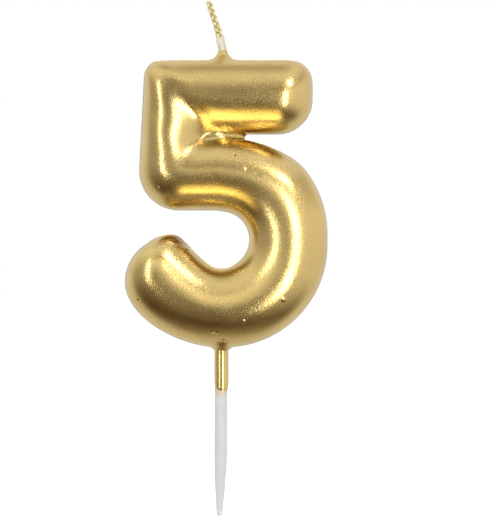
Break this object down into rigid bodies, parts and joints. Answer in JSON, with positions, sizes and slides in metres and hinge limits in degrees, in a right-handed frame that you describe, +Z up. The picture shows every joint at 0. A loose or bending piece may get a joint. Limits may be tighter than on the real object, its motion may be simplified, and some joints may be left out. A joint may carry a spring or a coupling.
{
  "type": "number birthday candle",
  "caption": "Puffy number-five wax candle with a metallic gold coat, a plaited wick at the top and a round plastic pick below for pushing into a cake.",
  "frame": {"origin": "on the pick's axis at the foot of the numeral, where the top of the cake comes", "axes": "+Z up along the pick, +X to the right of the numeral as it is read, +Y away from the reader"},
  "size_m": [0.0457, 0.0154, 0.1161],
  "materials": {
    "wax": "soft, slightly waxy",
    "gold_lacquer": "satin metallic lacquer with a fine grain",
    "wick_cotton": "plaited cotton, waxed white at the foot and gold above",
    "frosted_plastic": "frosted, slightly translucent"
  },
  "bodies": {
    "pick": {"pick": "frosted_plastic", "pick_gold_film": "gold_lacquer"},
    "numeral": {"wax_core": "wax", "gold_coat": "gold_lacquer", "wick_set_strand_1": "wick_cotton", "wick_set_strand_2": "wick_cotton", "wick_set_strand_3": "wick_cotton"},
    "wick": {"wick_free_strand_1": "wick_cotton", "wick_free_strand_2": "wick_cotton", "wick_free_strand_3": "wick_cotton"}
  },
  "joints": [
    {"name": "numeral_lift", "type": "slide", "parent": "pick", "child": "numeral", "axis": [0, 0, 1], "range_m": [0, 0.02]},
    {"name": "wick_bend", "type": "hinge", "parent": "numeral", "child": "wick", "pos_m": [0.0003, 0, 0.06675], "axis": [0, 1, 0], "range_deg": [-30, 45]}
  ]
}
